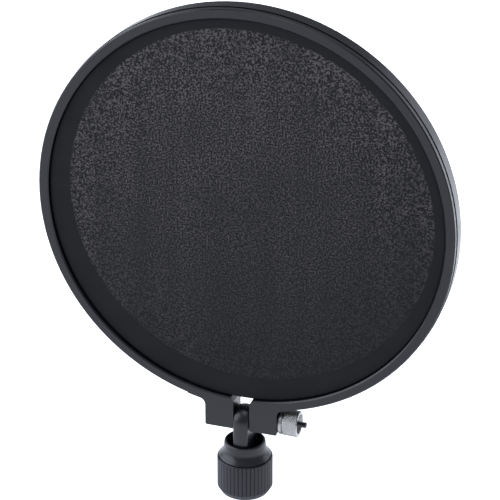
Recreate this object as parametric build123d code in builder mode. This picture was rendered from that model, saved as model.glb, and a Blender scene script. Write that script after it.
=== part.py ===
from build123d import *
import math
import os

# Double-layer pop filter head: a split clamp hoop pinches two layers of mesh round an inner
# hoop, its two ears hinge on a flat swivel stem, and the stem turns inside a coupling nut that
# screws on to a boom or gooseneck.
#
# Millimetres.  Origin: centre of the coupling nut's open lower end.  +Z up along the stem,
# +X along the clamp bolt towards the thumb nut, -Y is the front (the voice side).

os.makedirs("parts", exist_ok=True)

# ---- driving dimensions -------------------------------------------------------------------
HOOP_OUTER_R = 100.0
HOOP_INNER_R = 95.0
HOOP_DEPTH = 11.2
HOOP_CENTRE_Z = 147.1
BOLT_Z = 40.7
EAR_GAP = 8.0
LEFT_EAR_X = 18.2           # outer faces of the two ears
RIGHT_EAR_X = 17.7
EAR_DROP = 111.6            # hoop centre to the ears' lower face
NUT_HEIGHT = 27.2
GRIP_R = 13.45
THREAD_MINOR_R = 7.45       # 5/8 inch 27 tpi stand thread, minor radius
BOLT_R = 1.5                # M3 clamp bolt
RUNNING = 0.08              # radial clearance of a turning fit

# ---- hoops and mesh -----------------------------------------------------------------------
HOOP_FRONT_Y = -HOOP_DEPTH / 2
HOOP_BACK_Y = HOOP_DEPTH / 2
LAND_R = HOOP_OUTER_R - 0.3         # outer wall in front of the bead
WALL_R = HOOP_OUTER_R - 0.15        # outer wall behind the bead
GROOVE_R = HOOP_OUTER_R - 0.9
GROOVE_FRONT_Y = HOOP_FRONT_Y + 2.9
GROOVE_BACK_Y = GROOVE_FRONT_Y + 0.6
BEAD_BACK_Y = GROOVE_BACK_Y + 1.3
HOOP_EDGE = 0.5
INNER_BEVEL = 0.6

INNER_HOOP_OUTER_R = HOOP_INNER_R - 0.4
INNER_HOOP_FRONT_BORE_R = 90.3     # the bore narrows towards the back
INNER_HOOP_BACK_BORE_R = 88.3
INNER_HOOP_FRONT_Y = HOOP_FRONT_Y + 2.2
INNER_HOOP_BACK_Y = HOOP_BACK_Y - 0.7
INNER_HOOP_EDGE = 0.6
MESH_R = HOOP_INNER_R - 0.15
MESH_THICKNESS = 0.3

# ---- ears ---------------------------------------------------------------------------------
EAR_ROOT_FILLET = 3.5
EAR_CORNER = 0.9
EAR_PATCH_HALF = 27.0       # half width of the stretch of hoop that carries the ears
EAR_PATCH_INNER_R = 96.5
GAP_MOUTH_X = 5.4           # the gap opens out where it meets the inner hoop
GAP_MOUTH_HEIGHT = 1.9
EAR_HOLE_R = BOLT_R + 0.15
HEX_AF = 5.5                # M3 hexagon across flats
HEX_POCKET_AF = HEX_AF + 0.2
HEX_POCKET_DEPTH = 4.0
HEX_HEAD_HEIGHT = 2.0

# ---- clamp hardware, along +X from the right ear ------------------------------------------
EAR_WASHER_R = 5.4
EAR_WASHER_THICKNESS = 0.8
PLAIN_WASHER_R = 6.1
PLAIN_WASHER_THICKNESS = 1.4
THUMB_NUT_R = 6.4
THUMB_NUT_LENGTH = 7.5
THUMB_NUT_EDGE = 0.4
THUMB_NUT_BOSS_R = 5.3      # low boss that bears on the plain washer
THUMB_NUT_BOSS_LENGTH = 0.4
THUMB_NUT_RECESS_R = 4.7
THUMB_NUT_RECESS_DEPTH = 0.7
KNURL_TEETH = 36
KNURL_DEPTH = 0.3
BOLT_TIP_X = 30.8
BOLT_TIP_EDGE = 0.3
NUT_BORE_R = BOLT_R + 0.05
WASHER_BORE_R = BOLT_R + 0.1

# ---- swivel stem --------------------------------------------------------------------------
STEM_R = 8.0                # round bar with a spherical top, flattened to a tongue
STEM_TOP_Z = 46.1
TONGUE_THICKNESS = 7.4
TONGUE_BASE_Z = 21.0        # the bar is left round below here, where it turns in the nut
TONGUE_EDGE = 0.9
FRICTION_WASHER_R = 3.4
FLANGE_R = 10.1
FLANGE_BOTTOM_Z = 13.9
FLANGE_TOP_Z = 17.1
PAN_WASHER_THICKNESS = 0.8
PAN_WASHER_INNER_R = STEM_R + RUNNING

# ---- coupling nut -------------------------------------------------------------------------
NECK_OPENING_R = 8.9
NECK_RIM_R = 9.95
NECK_RIM_EDGE = 0.4
NECK_WAIST_R = 10.2         # the neck is almost straight down to here, then flares out
NECK_WAIST_Z = 24.4
NECK_FLARE_R = 12.7
NECK_FLARE_Z = 19.4
GRIP_GROOVE_R = 12.4
GRIP_TOP_Z = 18.8
GRIP_EDGE = 0.4
GRIP_TAPER_R = 11.8         # the grip narrows towards its lower end
GRIP_TAPER_Z = 2.8
RIB_COUNT = 42
RIB_DEPTH = 0.3
CAVITY_R = 10.4
INNER_SHOULDER_Z = FLANGE_TOP_Z + PAN_WASHER_THICKNESS + 0.1
INSERT_HEIGHT = 11.5
INSERT_BOTTOM_Z = 0.6
INSERT_GROOVES = 30
INSERT_GROOVE_DEPTH = 0.35
THREAD_LEAD_IN = 0.6

HOOP_AXIS = Axis((0, 0, HOOP_CENTRE_Z), (0, 1, 0))
# Radial section of the hoops: local x is the radius from the hoop's centre, local y is +Y.
HOOP_SECTION = Plane(origin=(0, 0, HOOP_CENTRE_Z), x_dir=(0, 0, 1), z_dir=(-1, 0, 0))
# Front view of the hoops: local x is +X, local y is +Z, centred on the hoop.
HOOP_FRONT_VIEW = Plane(origin=(0, 0, HOOP_CENTRE_Z), x_dir=(1, 0, 0), z_dir=(0, -1, 0))


def across_bolt(x):
    """Plane square to the clamp bolt at the given X, centred on the bolt, facing +X."""
    return Plane(origin=(x, 0, BOLT_Z), x_dir=(0, 1, 0), z_dir=(1, 0, 0))


def save(part, name):
    part.label = name
    export_step(part, f"parts/{name}.step")


def washer(x, outer_r, bore_r, thickness):
    """Flat washer on the clamp bolt, its left face at the given X."""
    with BuildPart() as ring:
        with BuildSketch(across_bolt(x)):
            Circle(outer_r)
            Circle(bore_r, mode=Mode.SUBTRACT)
        extrude(amount=thickness)
    return ring.part


def is_ear_root(vertex):
    """True where an ear's outer side meets the hoop's outer wall, in the hoop's front view."""
    on_wall = abs(math.hypot(vertex.X, vertex.Y) - LAND_R) < 0.01
    return on_wall and vertex.Y < -EAR_PATCH_INNER_R


# ---- clamp hoop ---------------------------------------------------------------------------
with BuildPart() as clamp_hoop:
    with BuildSketch(HOOP_SECTION):
        with BuildLine():
            Polyline(
                (HOOP_INNER_R + INNER_BEVEL, HOOP_FRONT_Y),
                (LAND_R - HOOP_EDGE, HOOP_FRONT_Y),
                (LAND_R, HOOP_FRONT_Y + HOOP_EDGE),
                (LAND_R, GROOVE_FRONT_Y),
                (GROOVE_R, GROOVE_FRONT_Y),
                (GROOVE_R, GROOVE_BACK_Y),
                (HOOP_OUTER_R, GROOVE_BACK_Y),
                (HOOP_OUTER_R, BEAD_BACK_Y),
                (WALL_R, BEAD_BACK_Y),
                (WALL_R, HOOP_BACK_Y - HOOP_EDGE),
                (WALL_R - HOOP_EDGE, HOOP_BACK_Y),
                (HOOP_INNER_R + HOOP_EDGE, HOOP_BACK_Y),
                (HOOP_INNER_R, HOOP_BACK_Y - HOOP_EDGE),
                (HOOP_INNER_R, HOOP_FRONT_Y + INNER_BEVEL),
                close=True,
            )
        make_face()
    revolve(axis=HOOP_AXIS)

    # Both ears start as one block that blends into the hoop's outer wall.
    with BuildSketch(HOOP_FRONT_VIEW) as ear_outline:
        Circle(LAND_R)
        ear_block_height = EAR_DROP - EAR_PATCH_INNER_R
        with Locations((-LEFT_EAR_X, -EAR_DROP)):
            Rectangle(LEFT_EAR_X + RIGHT_EAR_X, ear_block_height, align=(Align.MIN, Align.MIN))
        fillet(ear_outline.vertices().filter_by(is_ear_root), EAR_ROOT_FILLET)
        fillet(ear_outline.vertices().filter_by(lambda v: v.Y < 0.1 - EAR_DROP), EAR_CORNER)
        Circle(EAR_PATCH_INNER_R, mode=Mode.SUBTRACT)
        with Locations((0, -EAR_DROP)):
            Rectangle(2 * EAR_PATCH_HALF, EAR_DROP, align=(Align.CENTER, Align.MIN), mode=Mode.INTERSECT)
    extrude(amount=HOOP_DEPTH / 2, both=True)

    # The split between the ears runs right through the hoop and opens out at its inner wall.
    with BuildSketch(HOOP_FRONT_VIEW):
        with BuildLine():
            Polyline(
                (-EAR_GAP / 2, -EAR_DROP - 1),
                (EAR_GAP / 2, -EAR_DROP - 1),
                (EAR_GAP / 2, -HOOP_INNER_R - GAP_MOUTH_HEIGHT),
                (GAP_MOUTH_X, -HOOP_INNER_R + 0.5),
                (GAP_MOUTH_X, -HOOP_INNER_R + 2),
                (-GAP_MOUTH_X, -HOOP_INNER_R + 2),
                (-GAP_MOUTH_X, -HOOP_INNER_R + 0.5),
                (-EAR_GAP / 2, -HOOP_INNER_R - GAP_MOUTH_HEIGHT),
                close=True,
            )
        make_face()
    extrude(amount=HOOP_DEPTH, both=True, mode=Mode.SUBTRACT)

    with BuildSketch(across_bolt(-LEFT_EAR_X)):
        Circle(EAR_HOLE_R)
    extrude(amount=LEFT_EAR_X + RIGHT_EAR_X, mode=Mode.SUBTRACT)
    with BuildSketch(across_bolt(-LEFT_EAR_X)):
        RegularPolygon(HEX_POCKET_AF / 2, 6, major_radius=False)
    extrude(amount=HEX_POCKET_DEPTH, mode=Mode.SUBTRACT)
save(clamp_hoop.part, "clamp_hoop")

# ---- inner hoop and the two mesh layers ---------------------------------------------------
with BuildPart() as inner_hoop:
    with BuildSketch(HOOP_SECTION) as section:
        with BuildLine():
            Polyline(
                (INNER_HOOP_FRONT_BORE_R, INNER_HOOP_FRONT_Y),
                (INNER_HOOP_OUTER_R, INNER_HOOP_FRONT_Y),
                (INNER_HOOP_OUTER_R, INNER_HOOP_BACK_Y),
                (INNER_HOOP_BACK_BORE_R, INNER_HOOP_BACK_Y),
                close=True,
            )
        make_face()
        fillet(section.vertices(), INNER_HOOP_EDGE)
    revolve(axis=HOOP_AXIS)
save(inner_hoop.part, "inner_hoop")


def mesh_disc(front_y):
    """Stretched mesh layer: a thin disc whose front face is at the given Y."""
    with BuildPart() as disc:
        with BuildSketch(HOOP_FRONT_VIEW.offset(-front_y)):
            Circle(MESH_R)
        extrude(amount=-MESH_THICKNESS)
    return disc.part


save(mesh_disc(INNER_HOOP_FRONT_Y - MESH_THICKNESS), "front_mesh")
save(mesh_disc(INNER_HOOP_BACK_Y), "rear_mesh")

# ---- clamp hardware -----------------------------------------------------------------------
ear_washer_x = RIGHT_EAR_X
plain_washer_x = ear_washer_x + EAR_WASHER_THICKNESS
thumb_nut_x = plain_washer_x + PLAIN_WASHER_THICKNESS
hex_head_x = HEX_POCKET_DEPTH - LEFT_EAR_X

with BuildPart() as clamp_bolt:
    with BuildSketch(across_bolt(hex_head_x)):
        Circle(BOLT_R)
    extrude(amount=BOLT_TIP_X - hex_head_x)
    chamfer(clamp_bolt.edges().filter_by(GeomType.CIRCLE).sort_by(Axis.X)[-1], BOLT_TIP_EDGE)
    with BuildSketch(across_bolt(hex_head_x)):
        RegularPolygon(HEX_AF / 2, 6, major_radius=False)
    extrude(amount=-HEX_HEAD_HEIGHT)
save(clamp_bolt.part, "clamp_bolt")

save(washer(ear_washer_x, EAR_WASHER_R, WASHER_BORE_R, EAR_WASHER_THICKNESS), "ear_washer")
save(washer(plain_washer_x, PLAIN_WASHER_R, WASHER_BORE_R, PLAIN_WASHER_THICKNESS), "plain_washer")

with BuildPart() as thumb_nut:
    with BuildSketch(across_bolt(thumb_nut_x + THUMB_NUT_BOSS_LENGTH)):
        Circle(THUMB_NUT_R)
    extrude(amount=THUMB_NUT_LENGTH - THUMB_NUT_BOSS_LENGTH)
    chamfer(thumb_nut.edges().filter_by(GeomType.CIRCLE), THUMB_NUT_EDGE)
    with BuildSketch(across_bolt(thumb_nut_x)):
        with PolarLocations(THUMB_NUT_R, KNURL_TEETH):
            RegularPolygon(KNURL_DEPTH, 4)
    extrude(amount=THUMB_NUT_LENGTH, mode=Mode.SUBTRACT)
    with BuildSketch(across_bolt(thumb_nut_x)):
        Circle(THUMB_NUT_BOSS_R)
    extrude(amount=THUMB_NUT_BOSS_LENGTH)
    with BuildSketch(across_bolt(thumb_nut_x + THUMB_NUT_LENGTH)):
        Circle(THUMB_NUT_RECESS_R)
    extrude(amount=-THUMB_NUT_RECESS_DEPTH, taper=30, mode=Mode.SUBTRACT)
    with BuildSketch(across_bolt(thumb_nut_x)):
        Circle(NUT_BORE_R)
    extrude(amount=THUMB_NUT_LENGTH, mode=Mode.SUBTRACT)
save(thumb_nut.part, "thumb_nut")

# ---- swivel stem --------------------------------------------------------------------------
with BuildPart() as swivel_stem:
    with BuildSketch(Plane.XZ):
        with BuildLine():
            Polyline(
                (0, STEM_TOP_Z),
                (0, TONGUE_BASE_Z),
                (STEM_R, TONGUE_BASE_Z),
                (STEM_R, STEM_TOP_Z - STEM_R),
            )
            CenterArc((0, STEM_TOP_Z - STEM_R), STEM_R, 0, 90)
        make_face()
    revolve(axis=Axis.Z)
    Box(TONGUE_THICKNESS, 2 * STEM_R, 2 * STEM_TOP_Z, mode=Mode.INTERSECT)
    flat_rims = swivel_stem.faces().filter_by(Axis.X).edges()
    fillet(flat_rims.filter_by(lambda e: e.center().Z > TONGUE_BASE_Z + 0.1), TONGUE_EDGE)

    with BuildSketch(Plane.XY.offset(FLANGE_TOP_Z)):
        Circle(STEM_R)
    extrude(amount=TONGUE_BASE_Z - FLANGE_TOP_Z)
    with BuildSketch(Plane.XY.offset(FLANGE_BOTTOM_Z)):
        Circle(FLANGE_R)
    extrude(amount=FLANGE_TOP_Z - FLANGE_BOTTOM_Z)
    with BuildSketch(across_bolt(-STEM_R)):
        Circle(BOLT_R + RUNNING)
    extrude(amount=2 * STEM_R, mode=Mode.SUBTRACT)
save(swivel_stem.part, "swivel_stem")

# One thin washer each side of the tongue takes up the gap between the ears.
friction_thickness = (EAR_GAP - TONGUE_THICKNESS) / 2
friction_pair = Compound(
    children=[
        washer(-EAR_GAP / 2, FRICTION_WASHER_R, WASHER_BORE_R, friction_thickness),
        washer(TONGUE_THICKNESS / 2, FRICTION_WASHER_R, WASHER_BORE_R, friction_thickness),
    ]
)
save(friction_pair, "friction_washers")

with BuildPart() as pan_washer:
    with BuildSketch(Plane.XY.offset(FLANGE_TOP_Z)):
        Circle(FLANGE_R)
        Circle(PAN_WASHER_INNER_R, mode=Mode.SUBTRACT)
    extrude(amount=PAN_WASHER_THICKNESS)
save(pan_washer.part, "pan_washer")

# ---- coupling nut -------------------------------------------------------------------------
with BuildPart() as coupling_nut:
    with BuildSketch(Plane.XZ):
        with BuildLine():
            Polyline(
                (NECK_WAIST_R, NECK_WAIST_Z),
                (NECK_RIM_R, NUT_HEIGHT - NECK_RIM_EDGE),
                (NECK_RIM_R - NECK_RIM_EDGE, NUT_HEIGHT),
                (NECK_OPENING_R, NUT_HEIGHT),
                (NECK_OPENING_R, INNER_SHOULDER_Z),
                (CAVITY_R, INNER_SHOULDER_Z),
                (CAVITY_R, 0),
                (GRIP_TAPER_R, 0),
                (GRIP_R, GRIP_TAPER_Z),
                (GRIP_R, GRIP_TOP_Z - GRIP_EDGE),
                (GRIP_R - GRIP_EDGE, GRIP_TOP_Z),
                (GRIP_GROOVE_R, GRIP_TOP_Z),
                (GRIP_GROOVE_R, NECK_FLARE_Z),
                (NECK_FLARE_R, NECK_FLARE_Z),
            )
            flare = ((NECK_FLARE_R, NECK_FLARE_Z), (NECK_WAIST_R, NECK_WAIST_Z))
            Spline(*flare, tangents=[(-1, 1.4), (0, 1)])
        make_face()
    revolve(axis=Axis.Z)
    with BuildSketch(Plane.XY):
        with PolarLocations(GRIP_R, RIB_COUNT):
            RegularPolygon(RIB_DEPTH, 4)
    extrude(amount=GRIP_TOP_Z, mode=Mode.SUBTRACT)
save(coupling_nut.part, "coupling_nut")

# The pressed-in insert carries the stand thread and keeps the stem's flange inside the nut.
with BuildPart() as thread_insert:
    with BuildSketch(Plane.XY.offset(INSERT_BOTTOM_Z)):
        Circle(CAVITY_R)
        with PolarLocations(CAVITY_R, INSERT_GROOVES):
            RegularPolygon(INSERT_GROOVE_DEPTH, 4, mode=Mode.SUBTRACT)
        Circle(THREAD_MINOR_R, mode=Mode.SUBTRACT)
    extrude(amount=INSERT_HEIGHT)
    mouths = thread_insert.edges().filter_by(lambda e: abs(e.length - math.tau * THREAD_MINOR_R) < 0.1)
    chamfer(mouths.filter_by(GeomType.CIRCLE), THREAD_LEAD_IN)
save(thread_insert.part, "thread_insert")
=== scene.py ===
import math

import bmesh
import bpy
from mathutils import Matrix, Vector


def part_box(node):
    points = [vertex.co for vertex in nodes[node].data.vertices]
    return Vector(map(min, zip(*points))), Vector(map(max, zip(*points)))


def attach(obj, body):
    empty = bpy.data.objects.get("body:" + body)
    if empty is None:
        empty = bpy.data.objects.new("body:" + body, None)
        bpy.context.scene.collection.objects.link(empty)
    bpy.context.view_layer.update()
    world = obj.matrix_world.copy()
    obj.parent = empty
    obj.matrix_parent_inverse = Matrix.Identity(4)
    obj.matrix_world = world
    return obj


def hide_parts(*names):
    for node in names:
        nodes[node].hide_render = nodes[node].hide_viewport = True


# Looks and fine shapes of a pop filter head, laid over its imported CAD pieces.  Metres.
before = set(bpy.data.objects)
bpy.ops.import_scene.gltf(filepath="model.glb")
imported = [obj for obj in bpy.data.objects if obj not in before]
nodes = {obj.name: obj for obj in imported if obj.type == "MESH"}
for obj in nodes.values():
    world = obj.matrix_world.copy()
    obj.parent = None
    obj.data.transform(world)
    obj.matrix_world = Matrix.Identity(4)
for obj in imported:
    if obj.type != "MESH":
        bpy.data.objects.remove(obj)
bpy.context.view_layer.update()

MM = 0.001

# ---- places read from the frame -----------------------------------------------------------
inner_low, inner_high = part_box("inner_hoop")
nut_low, nut_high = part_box("thumb_nut")
bolt_low, bolt_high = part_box("clamp_bolt")
front_mesh_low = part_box("front_mesh")[0]
rear_mesh_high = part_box("rear_mesh")[1]
HOOP_CENTRE = (inner_low + inner_high) / 2
INNER_R = (inner_high.x - inner_low.x) / 2
LAYER_SPACING = inner_high.y - inner_low.y
BOLT_Z = (nut_low.z + nut_high.z) / 2
NUT_R = (nut_high.z - nut_low.z) / 2

# ---- CAD sizes that the frame's boxes don't give ------------------------------------------
FRONT_BORE_R = INNER_R - 4.3 * MM        # the inner hoop's bore at its two edges
BACK_BORE_R = INNER_R - 6.3 * MM
GRIP_TOP_Z = 18.8 * MM
BOLT_R = 1.5 * MM
BOLT_TIP_EDGE = 0.3 * MM
HEX_AF = 5.5 * MM
HEX_HEAD_HEIGHT = 2.0 * MM
NUT_EDGE = 0.4 * MM
NUT_BORE_R = BOLT_R + 0.05 * MM
NUT_BOSS_R = 5.3 * MM
NUT_BOSS_LENGTH = 0.4 * MM
NUT_DISH_R = 4.7 * MM

# ---- thumb nut and bolt detail that the CAD leaves plainer --------------------------------
NUT_OUTER_CLEARANCE = 0.02 * MM          # keeps the knurl's crests inside the CAD nut
NUT_DISH_DEPTH = 1.7 * MM
NUT_DISH_TAPER = 0.5 * MM
NUT_LEAD_IN_R = BOLT_R + 0.4 * MM
NUT_LEAD_IN_DEPTH = 0.3 * MM
KNURL_TEETH = 32
KNURL_DEPTH = 0.32 * MM
KNURL_STEPS = 44
POINTS_PER_TOOTH = 8
THREAD_PITCH = 0.5 * MM
THREAD_DEPTH = 0.27 * MM
RINGS_PER_TURN = 6
BOLT_SECTORS = 48
HEX_END_R = HEX_AF / 2 * 0.92
HEX_CHAMFER = 0.25 * MM

# ---- mesh layers --------------------------------------------------------------------------
HEM_CLEARANCE = 0.03 * MM
HEM_R = INNER_R + 0.4 * MM - HEM_CLEARANCE      # the clamp hoop's inner wall, less a hair
DISC_R = INNER_R - 0.55 * MM
SHEET_INSET = 0.1 * MM                   # from the outer face of the CAD disc
SHEET_BOW = 0.5 * MM
HEM_HALF_GAP = 0.8 * MM                  # the two hems stop this far from the middle
SHEET_RINGS = 40
SHEET_SECTORS = 256
ROLL_STEPS = 6

# ---- shading of meshes made here ----------------------------------------------------------
POINT_R = 1e-9                           # a ring smaller than this is a point
MERGE_DISTANCE = 1e-7
SHARP_ANGLE = math.radians(40)

# ---- camera and lighting choices, angles in degrees ---------------------------------------
CAMERA_AZIMUTH = 18.44
CAMERA_ELEVATION = 26.09
CAMERA_DISTANCE = 0.967
CAMERA_AIM = Vector((2.56 * MM, 0, HOOP_CENTRE.z - 18.1 * MM))
CAMERA_LENS = 151.4
SENSOR = 36.0
COOL_WHITE = (0.93, 0.97, 1.06, 1.0)
FLOOR_REACH = 6.0
FLOOR_FADE_FROM_Y = -0.1
FLOOR_FADE_TO_Y = 0.3
FLOOR_FRONT = 0.45
FLOOR_BACK = 1.6
FLOOR_SEEN = 1.25
BACKDROP_SEEN = 1.1
WORLD_STRENGTH = 0.3
LAMP_TARGET = Vector((0, 0, 60 * MM))

# ---- surface choices ----------------------------------------------------------------------
NOISE_RANGE = (0.3, 0.7)                 # most of a noise texture lies between these
EDGE_START = 0.995                       # cosine between the true and the rounded normal
EDGE_FULL = 0.85
EDGE_RADIUS = 0.35 * MM
# painted highlight on sharp edges: how much of the lighter colour goes in, and how much lighter it is
EDGE_HIGHLIGHT_SHARE = 0.35
EDGE_HIGHLIGHT_GAIN = 1.9
GRIP_FADE = 0.5 * MM
WEAVE_PITCH = 0.42 * MM
SPECKLE_GRAIN = (0.45, 0.68)
SPECKLE_CLOUD = (0.7, 1.3)
SPECKLE_STREAK = (0.8, 1.2)
SPECKLE_PAINTED_LIGHT_BY_HEIGHT = (0.1, 1.3)           # painted light: speckle strength at the hoop's bottom and top
PAINTED_LIGHT_LEAN = 0.25                      # the painted light's bright end leans to the left
BAND_FADE = 0.5 * MM
SHALLOWEST_VIEW = 0.05                   # limits the step when looking along a layer


def rgb(r, g, b):
    """sRGB 0-255 to a linear RGBA tuple."""
    def linear(v):
        v /= 255
        return v / 12.92 if v <= 0.04045 else ((v + 0.055) / 1.055) ** 2.4
    return (linear(r), linear(g), linear(b), 1.0)


def shade(colour, factor):
    """The colour made lighter or darker, kept within range."""
    return tuple(min(1.0, c * factor) for c in colour[:3]) + (1.0,)


def direction(azimuth, elevation):
    """Unit vector away from the part; azimuth from the front, positive to the right."""
    az, el = math.radians(azimuth), math.radians(elevation)
    return Vector((math.sin(az) * math.cos(el), -math.cos(az) * math.cos(el), math.sin(el)))


# painted shade and light: the thread colour is darker at the bottom and lighter at the top
MESH_THREAD_SHADED_BOTTOM = rgb(19, 20, 24)
MESH_THREAD_LIT_TOP = rgb(25, 25, 28)
# painted light: the pale colour stands for backdrop light showing through the gaps in the net
MESH_SPECKLE = rgb(88, 85, 86)


# ---- material building blocks -------------------------------------------------------------
class Nodes:
    """Small helper round one material's node tree."""

    def __init__(self, name):
        self.material = bpy.data.materials.new(name)
        self.material.use_nodes = True
        self.tree = self.material.node_tree
        self.tree.nodes.clear()
        self.output = self.tree.nodes.new("ShaderNodeOutputMaterial")
        self.coords = self.tree.nodes.new("ShaderNodeTexCoord").outputs["Object"]

    def link(self, source, target):
        self.tree.links.new(source, target)

    def fill(self, socket, value):
        """Give an input either a link from another node or a plain value."""
        if isinstance(value, bpy.types.NodeSocket):
            self.link(value, socket)
        else:
            socket.default_value = value

    def add(self, kind, **inputs):
        node = self.tree.nodes.new(kind)
        for key, value in inputs.items():
            self.fill(node.inputs[key.replace("_", " ")], value)
        return node

    def noise(self, scale, detail=4.0, roughness=0.55, vector=None):
        node = self.add("ShaderNodeTexNoise", Scale=scale, Detail=detail, Roughness=roughness)
        self.link(vector or self.coords, node.inputs["Vector"])
        return node.outputs["Fac"]

    def remap(self, value, low, high, to_low, to_high):
        node = self.add(
            "ShaderNodeMapRange",
            Value=value, From_Min=low, From_Max=high, To_Min=to_low, To_Max=to_high,
        )
        return node.outputs["Result"]

    def vary(self, noise, to_low, to_high):
        """A noise texture's usual range stretched to the two numbers."""
        return self.remap(noise, *NOISE_RANGE, to_low, to_high)

    def mix_colour(self, factor, a, b):
        node = self.tree.nodes.new("ShaderNodeMix")
        node.data_type = "RGBA"
        factor_input, a_input, b_input = node.inputs[0], node.inputs[6], node.inputs[7]
        self.fill(factor_input, factor)
        self.fill(a_input, a)
        self.fill(b_input, b)
        return node.outputs[2]

    def math(self, operation, a, b=0.0):
        node = self.tree.nodes.new("ShaderNodeMath")
        node.operation = operation
        self.fill(node.inputs[0], a)
        self.fill(node.inputs[1], b)
        return node.outputs[0]

    def vector(self, operation, a, b):
        node = self.tree.nodes.new("ShaderNodeVectorMath")
        node.operation = operation
        self.fill(node.inputs[0], a)
        self.fill(node.inputs[1], b)
        return node

    def bump(self, height, strength, distance):
        node = self.add("ShaderNodeBump", Strength=strength, Distance=distance, Height=height)
        return node.outputs["Normal"]

    def edges(self, radius):
        """0 on flat areas and towards 1 on sharp outer edges, where a highlight is painted into the
        colour.
        """
        bevel = self.tree.nodes.new("ShaderNodeBevel")
        bevel.samples = 4
        bevel.inputs["Radius"].default_value = radius
        geometry = self.tree.nodes.new("ShaderNodeNewGeometry")
        dot = self.vector("DOT_PRODUCT", bevel.outputs["Normal"], geometry.outputs["Normal"])
        return self.remap(dot.outputs["Value"], EDGE_START, EDGE_FULL, 0.0, 1.0)

    def blend(self, factor, a, b):
        """Plain number between socket a and number b."""
        gain = self.math("MULTIPLY", factor, self.math("SUBTRACT", b, a))
        return self.math("ADD", a, gain)

    def moved(self, vector, by):
        return self.add("ShaderNodeMapping", Location=by, Vector=vector).outputs["Vector"]

    def stretched(self, vector, factors):
        return self.add("ShaderNodeMapping", Scale=factors, Vector=vector).outputs["Vector"]

    def weave(self, vector, pitch):
        """Height of a plain net: threads crossing at the given pitch in X and Z."""
        split = self.add("ShaderNodeSeparateXYZ", Vector=vector)
        waves = []
        for axis in ("X", "Z"):
            phase = self.math("MULTIPLY", split.outputs[axis], 2 * math.pi / pitch)
            waves.append(self.math("SINE", phase))
        return self.math("MAXIMUM", waves[0], waves[1])

    def principled(self, **inputs):
        shader = self.add("ShaderNodeBsdfPrincipled", **inputs)
        self.link(shader.outputs[0], self.output.inputs["Surface"])


def moulded_plastic(name, colour, rough, grip_rough=None):
    """Satin injection-moulded plastic: fine spark-eroded grain, faint mottling, and edges made paler
    by a painted highlight.
    With grip_rough, the ribbed grip below GRIP_TOP_Z is duller than the rest."""
    n = Nodes(name)
    mottling = n.noise(scale=28.0, detail=3.0)
    grain = n.noise(scale=2600.0, detail=2.0, roughness=0.6)
    base = n.mix_colour(n.vary(mottling, 0.0, 1.0), shade(colour, 0.8), shade(colour, 1.3))
    # painted highlight: sharp edges mixed towards a lighter copy of the colour
    painted_edge_highlight = n.math("MULTIPLY", n.edges(EDGE_RADIUS), EDGE_HIGHLIGHT_SHARE)
    base = n.mix_colour(painted_edge_highlight, base, shade(colour, EDGE_HIGHLIGHT_GAIN))
    rough_value = n.vary(n.noise(scale=90.0, detail=4.0), rough - 0.05, rough + 0.06)
    if grip_rough is not None:
        height = n.add("ShaderNodeSeparateXYZ", Vector=n.coords).outputs["Z"]
        on_grip = n.remap(height, GRIP_TOP_Z, GRIP_TOP_Z - GRIP_FADE, 0.0, 1.0)
        rough_value = n.blend(on_grip, rough_value, grip_rough)
    normal = n.bump(grain, strength=0.25, distance=0.03 * MM)
    n.principled(Base_Color=base, Roughness=rough_value, Normal=normal, Specular_IOR_Level=0.5)
    return n.material


def plated_metal(name, colour, rough):
    """Metal with faint tarnish and an uneven polish."""
    n = Nodes(name)
    tarnish = n.noise(scale=420.0, detail=5.0, roughness=0.6)
    base = n.mix_colour(n.remap(tarnish, 0.35, 0.7, 0.0, 1.0), colour, shade(colour, 0.8))
    rough_value = n.vary(n.noise(scale=900.0, detail=3.0), rough - 0.06, rough + 0.08)
    normal = n.bump(n.noise(scale=3500.0, detail=2.0), strength=0.15, distance=0.02 * MM)
    n.principled(Base_Color=base, Metallic=1.0, Roughness=rough_value, Normal=normal)
    return n.material


def from_hoop_centre(n, point):
    """X, Z and radius of a point about the hoop's axis."""
    offset = n.vector("SUBTRACT", point, tuple(HOOP_CENTRE)).outputs[0]
    split = n.add("ShaderNodeSeparateXYZ", Vector=offset)
    across, up = split.outputs["X"], split.outputs["Z"]
    squares = n.math("ADD", n.math("MULTIPLY", across, across), n.math("MULTIPLY", up, up))
    return across, up, n.math("SQRT", squares)


def point_on_far_layer(n):
    """Where the line of sight through this layer meets the other one, in the piece's own frame."""
    geometry = n.tree.nodes.new("ShaderNodeNewGeometry")
    turn = n.add("ShaderNodeVectorTransform", Vector=geometry.outputs["Incoming"])
    turn.vector_type = "VECTOR"
    turn.convert_from = "WORLD"
    turn.convert_to = "OBJECT"
    towards_eye = turn.outputs[0]
    depth = n.math("ABSOLUTE", n.add("ShaderNodeSeparateXYZ", Vector=towards_eye).outputs["Y"])
    steps = n.math("DIVIDE", -LAYER_SPACING, n.math("MAXIMUM", depth, SHALLOWEST_VIEW))
    scaled = n.tree.nodes.new("ShaderNodeVectorMath")
    scaled.operation = "SCALE"
    n.link(towards_eye, scaled.inputs[0])
    n.link(steps, scaled.inputs["Scale"])
    return n.vector("ADD", n.coords, scaled.outputs[0]).outputs[0]


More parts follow.
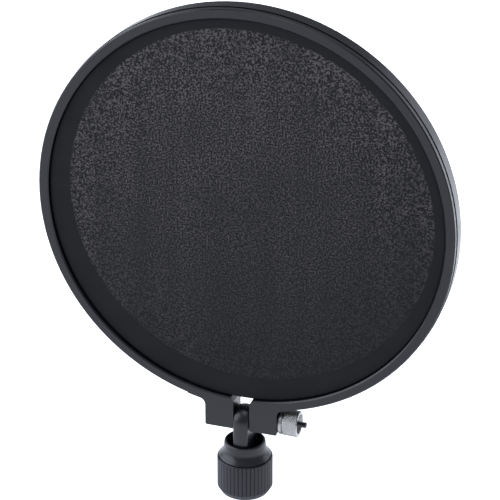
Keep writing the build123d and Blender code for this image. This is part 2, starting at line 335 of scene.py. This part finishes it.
def nylon_net(name, seed, own_bore, far_bore):
    """One of two layers of fine black net.  The layer is opaque and its see-through look is
    painted: a pale speckle stands for the gaps in the two nets, and it fades to plain dark
    thread where the line of sight meets the inner hoop instead of its opening."""
    n = Nodes(name)
    shifted = n.moved(n.coords, (seed, seed * 0.7, seed * 1.3))
    across, up, radius = from_hoop_centre(n, n.coords)
    far_radius = from_hoop_centre(n, point_on_far_layer(n))[2]
    height = n.math("SUBTRACT", up, n.math("MULTIPLY", across, PAINTED_LIGHT_LEAN))
    cloud = n.noise(scale=45.0, detail=3.0, roughness=0.6, vector=shifted)
    grain = n.noise(scale=1250.0, detail=1.0, roughness=0.5, vector=shifted)
    drawn_out = n.stretched(shifted, (1.0, 0.0, 0.06))
    streak = n.noise(scale=95.0, detail=1.0, roughness=0.5, vector=drawn_out)

    speckle = n.remap(grain, *SPECKLE_GRAIN, 0.0, 1.0)
    speckle = n.math("MULTIPLY", speckle, n.vary(cloud, *SPECKLE_CLOUD))
    speckle = n.math("MULTIPLY", speckle, n.vary(streak, *SPECKLE_STREAK))
    # painted light: the speckle grows stronger towards the top and the left
    painted_top_light = n.remap(height, -INNER_R, INNER_R, *SPECKLE_PAINTED_LIGHT_BY_HEIGHT)
    speckle = n.math("MULTIPLY", speckle, painted_top_light)
    for distance, bore in ((radius, own_bore), (far_radius, far_bore)):
        speckle = n.math("MULTIPLY", speckle, n.remap(distance, bore - BAND_FADE, bore, 1.0, 0.0))

    # painted shade: the thread darkens towards the bottom
    painted_light_upwards = n.remap(height, -INNER_R, INNER_R, 0.0, 1.0)
    thread = n.mix_colour(painted_light_upwards, MESH_THREAD_SHADED_BOTTOM, MESH_THREAD_LIT_TOP)
    n.principled(
        Base_Color=n.mix_colour(speckle, thread, MESH_SPECKLE),
        Roughness=n.vary(cloud, 0.6, 0.75),
        Specular_IOR_Level=0.2,
        Normal=n.bump(n.weave(shifted, WEAVE_PITCH), strength=0.3, distance=0.05 * MM),
    )
    return n.material


# ---- geometry helpers ---------------------------------------------------------------------
def new_object(name, mesh):
    obj = bpy.data.objects.new(name, mesh)
    bpy.context.scene.collection.objects.link(obj)
    return obj


def smooth_object(name, bm):
    """Object made from the bmesh, with every face shaded smooth."""
    for face in bm.faces:
        face.smooth = True
    mesh = bpy.data.meshes.new(name)
    bm.to_mesh(mesh)
    bm.free()
    return new_object(name, mesh)


def skin(bm, first, second):
    """Quads between two rings that have the same number of points."""
    count = len(first)
    for k in range(count):
        j = (k + 1) % count
        bm.faces.new((first[k], second[k], second[j], first[j]))


def sheet(name, front_y, fold_y):
    """Stretched mesh disc whose edge rolls over the inner hoop and runs back along its outer wall."""
    inwards = 1 if fold_y > front_y else -1
    edge_round = HEM_R - DISC_R
    profile = [(DISC_R * (i / SHEET_RINGS), 0.0) for i in range(1, SHEET_RINGS + 1)]
    for i in range(1, ROLL_STEPS + 1):
        angle = math.pi / 2 * i / ROLL_STEPS
        radius = DISC_R + edge_round * math.sin(angle)
        profile.append((radius, inwards * edge_round * (1 - math.cos(angle))))
    profile.append((HEM_R, fold_y - front_y))

    bm = bmesh.new()
    centre = bm.verts.new((HOOP_CENTRE.x, front_y + inwards * SHEET_BOW, HOOP_CENTRE.z))
    loops = []
    for radius, depth in profile:
        sag = SHEET_BOW * max(0.0, 1 - (radius / DISC_R) ** 2) * inwards
        loop = []
        for k in range(SHEET_SECTORS):
            a = 2 * math.pi * k / SHEET_SECTORS
            x = HOOP_CENTRE.x + radius * math.cos(a)
            z = HOOP_CENTRE.z + radius * math.sin(a)
            loop.append(bm.verts.new((x, front_y + depth + sag, z)))
        loops.append(loop)
    for k in range(SHEET_SECTORS):
        bm.faces.new((centre, loops[0][k], loops[0][(k + 1) % SHEET_SECTORS]))
    for inner, outer in zip(loops, loops[1:]):
        skin(bm, inner, outer)
    return smooth_object(name, bm)


def turned(name, rings, sectors):
    """Surface round the clamp bolt's axis through rings of (x, radius as a function of angle).
    A first ring of zero radius means both ends close in a point; otherwise the rings join in
    a loop."""
    bm = bmesh.new()
    loops = []
    for x, radius_at in rings:
        loop = []
        for k in range(sectors):
            a = 2 * math.pi * k / sectors
            r = radius_at(a)
            loop.append(bm.verts.new((x, r * math.cos(a), BOLT_Z + r * math.sin(a))))
        loops.append(loop)
    pairs = list(zip(loops, loops[1:]))
    first_radius_at = rings[0][1]
    if first_radius_at(0.0) >= POINT_R:
        pairs.append((loops[-1], loops[0]))
    for first, second in pairs:
        skin(bm, first, second)
    bmesh.ops.remove_doubles(bm, verts=bm.verts, dist=MERGE_DISTANCE)
    bmesh.ops.recalc_face_normals(bm, faces=bm.faces)
    obj = smooth_object(name, bm)
    obj.data.set_sharp_from_angle(angle=SHARP_ANGLE)
    return obj


def steady(radius):
    """Round ring."""
    return lambda angle: radius


def triangle(phase):
    """Triangle wave, 0 to 1 and back over one turn of the phase."""
    return 1 - abs(2 * (phase % 1.0) - 1)


def knurled(radius, x):
    """Ring of a diamond knurl: two families of helical grooves crossing."""
    along = x / (2 * math.pi * radius / KNURL_TEETH)

    def radius_at(angle):
        turn = angle * KNURL_TEETH / (2 * math.pi)
        crest = min(triangle(turn + along), triangle(turn - along))
        return radius - KNURL_DEPTH * (1 - crest)
    return radius_at


def threaded(x):
    """Ring of the bolt's right-hand thread, with sharp ridges."""
    def radius_at(angle):
        return BOLT_R - THREAD_DEPTH * (1 - triangle(x / THREAD_PITCH - angle / (2 * math.pi)))
    return radius_at


def hexagon(across_flats):
    """Six-sided ring."""
    def radius_at(angle):
        off_flat = (angle + math.pi / 6) % (math.pi / 3) - math.pi / 6
        return across_flats / 2 / math.cos(off_flat)
    return radius_at


def thumb_nut():
    """Knurled thumb nut: boss, diamond knurl between two chamfers, dished end face and bore."""
    start, end = nut_low.x, nut_high.x
    boss_end = start + NUT_BOSS_LENGTH
    knurl_start, knurl_end = boss_end + NUT_EDGE, end - NUT_EDGE
    dish_floor = end - NUT_DISH_DEPTH
    outer = NUT_R - NUT_OUTER_CLEARANCE
    rings = [
        (start, steady(NUT_BORE_R)),
        (start, steady(NUT_BOSS_R)),
        (boss_end, steady(NUT_BOSS_R)),
        (boss_end, steady(outer - NUT_EDGE)),
    ]
    for i in range(KNURL_STEPS + 1):
        x = knurl_start + (knurl_end - knurl_start) * i / KNURL_STEPS
        rings.append((x, knurled(outer, x)))
    rings += [
        (end, steady(outer - NUT_EDGE)),
        (end, steady(NUT_DISH_R)),
        (dish_floor, steady(NUT_DISH_R - NUT_DISH_TAPER)),
        (dish_floor, steady(NUT_LEAD_IN_R)),
        (dish_floor - NUT_LEAD_IN_DEPTH, steady(NUT_BORE_R)),
    ]
    return turned("thumb_nut_knurled", rings, KNURL_TEETH * POINTS_PER_TOOTH)


def clamp_bolt():
    """Hexagon bolt with a real thread on the half that carries the nut."""
    start, end = bolt_low.x, bolt_high.x
    head_end = start + HEX_HEAD_HEIGHT
    thread_start = HOOP_CENTRE.x
    thread_end = end - BOLT_TIP_EDGE
    rings = [
        (start, steady(0.0)),
        (start, steady(HEX_END_R)),
        (start + HEX_CHAMFER, hexagon(HEX_AF)),
        (head_end, hexagon(HEX_AF)),
        (head_end, steady(BOLT_R)),
        (thread_start, steady(BOLT_R)),
    ]
    steps = int((end - thread_start) / THREAD_PITCH * RINGS_PER_TURN)
    for i in range(1, steps + 1):
        x = thread_start + (thread_end - thread_start) * i / steps
        rings.append((x, threaded(x)))
    rings += [
        (end, steady(BOLT_R - BOLT_TIP_EDGE)),
        (end, steady(0.0)),
    ]
    return turned("clamp_bolt_threaded", rings, BOLT_SECTORS)


def take_over(piece, material, node, body):
    """Put a piece made here in place of its CAD node, with its material, slot and body."""
    piece.data.materials.append(material)
    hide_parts(node)
    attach(piece, body)


# ---- materials on the CAD nodes -----------------------------------------------------------
hoop_plastic = moulded_plastic("hoop_plastic", rgb(13, 15, 21), rough=0.3)
grip_plastic = moulded_plastic("grip_plastic", rgb(24, 26, 33), rough=0.3, grip_rough=0.52)
stem_plastic = moulded_plastic("stem_plastic", rgb(22, 24, 31), rough=0.3)
nickel = plated_metal("nickel", rgb(182, 182, 181), rough=0.3)
black_steel = plated_metal("black_steel", rgb(84, 84, 86), rough=0.38)
brass = plated_metal("brass", rgb(196, 164, 96), rough=0.32)
black_nylon = moulded_plastic("black_nylon", rgb(16, 16, 18), rough=0.55)

FINISH = {
    "clamp_hoop": hoop_plastic,
    "inner_hoop": hoop_plastic,
    "swivel_stem": stem_plastic,
    "coupling_nut": grip_plastic,
    "thread_insert": brass,
    "clamp_bolt": black_steel,
    "plain_washer": nickel,
    "thumb_nut": nickel,
    "ear_washer": black_nylon,
    "friction_washers": black_nylon,
    "pan_washer": black_nylon,
}
for node, material in FINISH.items():
    slots = nodes[node].data.materials
    slots.clear()
    slots.append(material)

# ---- pieces that replace their CAD nodes --------------------------------------------------
middle_y = (inner_low.y + inner_high.y) / 2
front = sheet("front_mesh_fabric", front_mesh_low.y + SHEET_INSET, middle_y - HEM_HALF_GAP)
rear = sheet("rear_mesh_fabric", rear_mesh_high.y - SHEET_INSET, middle_y + HEM_HALF_GAP)
front_net = nylon_net("front_mesh_nylon", 0.0, FRONT_BORE_R, BACK_BORE_R)
rear_net = nylon_net("rear_mesh_nylon", 3.7, BACK_BORE_R, FRONT_BORE_R)
take_over(front, front_net, "front_mesh", "hoop")
take_over(rear, rear_net, "rear_mesh", "hoop")
take_over(thumb_nut(), FINISH["thumb_nut"], "thumb_nut", "thumb_nut")
take_over(clamp_bolt(), FINISH["clamp_bolt"], "clamp_bolt", "hoop")

# ---- stage --------------------------------------------------------------------------------
floor_corners = [
    (-FLOOR_REACH, -FLOOR_REACH, 0),
    (FLOOR_REACH, -FLOOR_REACH, 0),
    (FLOOR_REACH, FLOOR_REACH, 0),
    (-FLOOR_REACH, FLOOR_REACH, 0),
]
floor_mesh = bpy.data.meshes.new("floor")
floor_mesh.from_pydata(floor_corners, [], [(0, 1, 2, 3)])
floor = new_object("floor", floor_mesh)
floor_look = Nodes("floor_white")
# The camera sees an even white floor; the part itself is lit by a floor that is brighter behind it.
floor_depth = floor_look.add("ShaderNodeSeparateXYZ", Vector=floor_look.coords).outputs["Y"]
floor_light = floor_look.remap(
    floor_depth, FLOOR_FADE_FROM_Y, FLOOR_FADE_TO_Y, FLOOR_FRONT, FLOOR_BACK
)
floor_seen = floor_look.tree.nodes.new("ShaderNodeLightPath").outputs["Is Camera Ray"]
floor_look.principled(
    Base_Color=(0.9, 0.9, 0.9, 1),
    Roughness=0.8,
    Emission_Color=COOL_WHITE,
    Emission_Strength=floor_look.blend(floor_seen, floor_light, FLOOR_SEEN),
)
floor_mesh.materials.append(floor_look.material)

# The backdrop likewise looks white to the camera but lights the part only dimly.
world = bpy.data.worlds.new("studio")
bpy.context.scene.world = world
world.use_nodes = True
backdrop = world.node_tree.nodes["Background"]
backdrop.inputs["Color"].default_value = COOL_WHITE
seen = world.node_tree.nodes.new("ShaderNodeLightPath")
level = world.node_tree.nodes.new("ShaderNodeMapRange")
level.inputs["To Min"].default_value = WORLD_STRENGTH
level.inputs["To Max"].default_value = BACKDROP_SEEN
world.node_tree.links.new(seen.outputs["Is Camera Ray"], level.inputs["Value"])
world.node_tree.links.new(level.outputs["Result"], backdrop.inputs["Strength"])


def softbox(name, azimuth, elevation, distance, size, radiance):
    """Area light aimed at LAMP_TARGET from the given direction."""
    data = bpy.data.lights.new(name, "AREA")
    data.shape = "RECTANGLE"
    data.size, data.size_y = size
    data.energy = radiance * math.pi * size[0] * size[1]
    data.color = COOL_WHITE[:3]
    lamp = bpy.data.objects.new(name, data)
    towards = direction(azimuth, elevation)
    lamp.location = LAMP_TARGET + towards * distance
    lamp.rotation_euler = (-towards).to_track_quat("-Z", "Y").to_euler()
    bpy.context.scene.collection.objects.link(lamp)


softbox("left", azimuth=-72, elevation=28, distance=1.6, size=(1.9, 1.5), radiance=2.5)
softbox("top", azimuth=20, elevation=80, distance=1.6, size=(1.0, 1.0), radiance=1.6)
softbox("right_back", azimuth=135, elevation=20, distance=1.8, size=(1.2, 0.9), radiance=1.5)

camera_data = bpy.data.cameras.new("camera")
camera_data.lens = CAMERA_LENS
camera_data.sensor_width = SENSOR
camera = bpy.data.objects.new("camera", camera_data)
back = direction(CAMERA_AZIMUTH, CAMERA_ELEVATION)
camera.location = CAMERA_AIM + back * CAMERA_DISTANCE
camera.rotation_mode = "QUATERNION"
camera.rotation_quaternion = (-back).to_track_quat("-Z", "Y")
bpy.context.scene.collection.objects.link(camera)
bpy.context.scene.camera = camera
bpy.context.scene.view_settings.view_transform = "Standard"
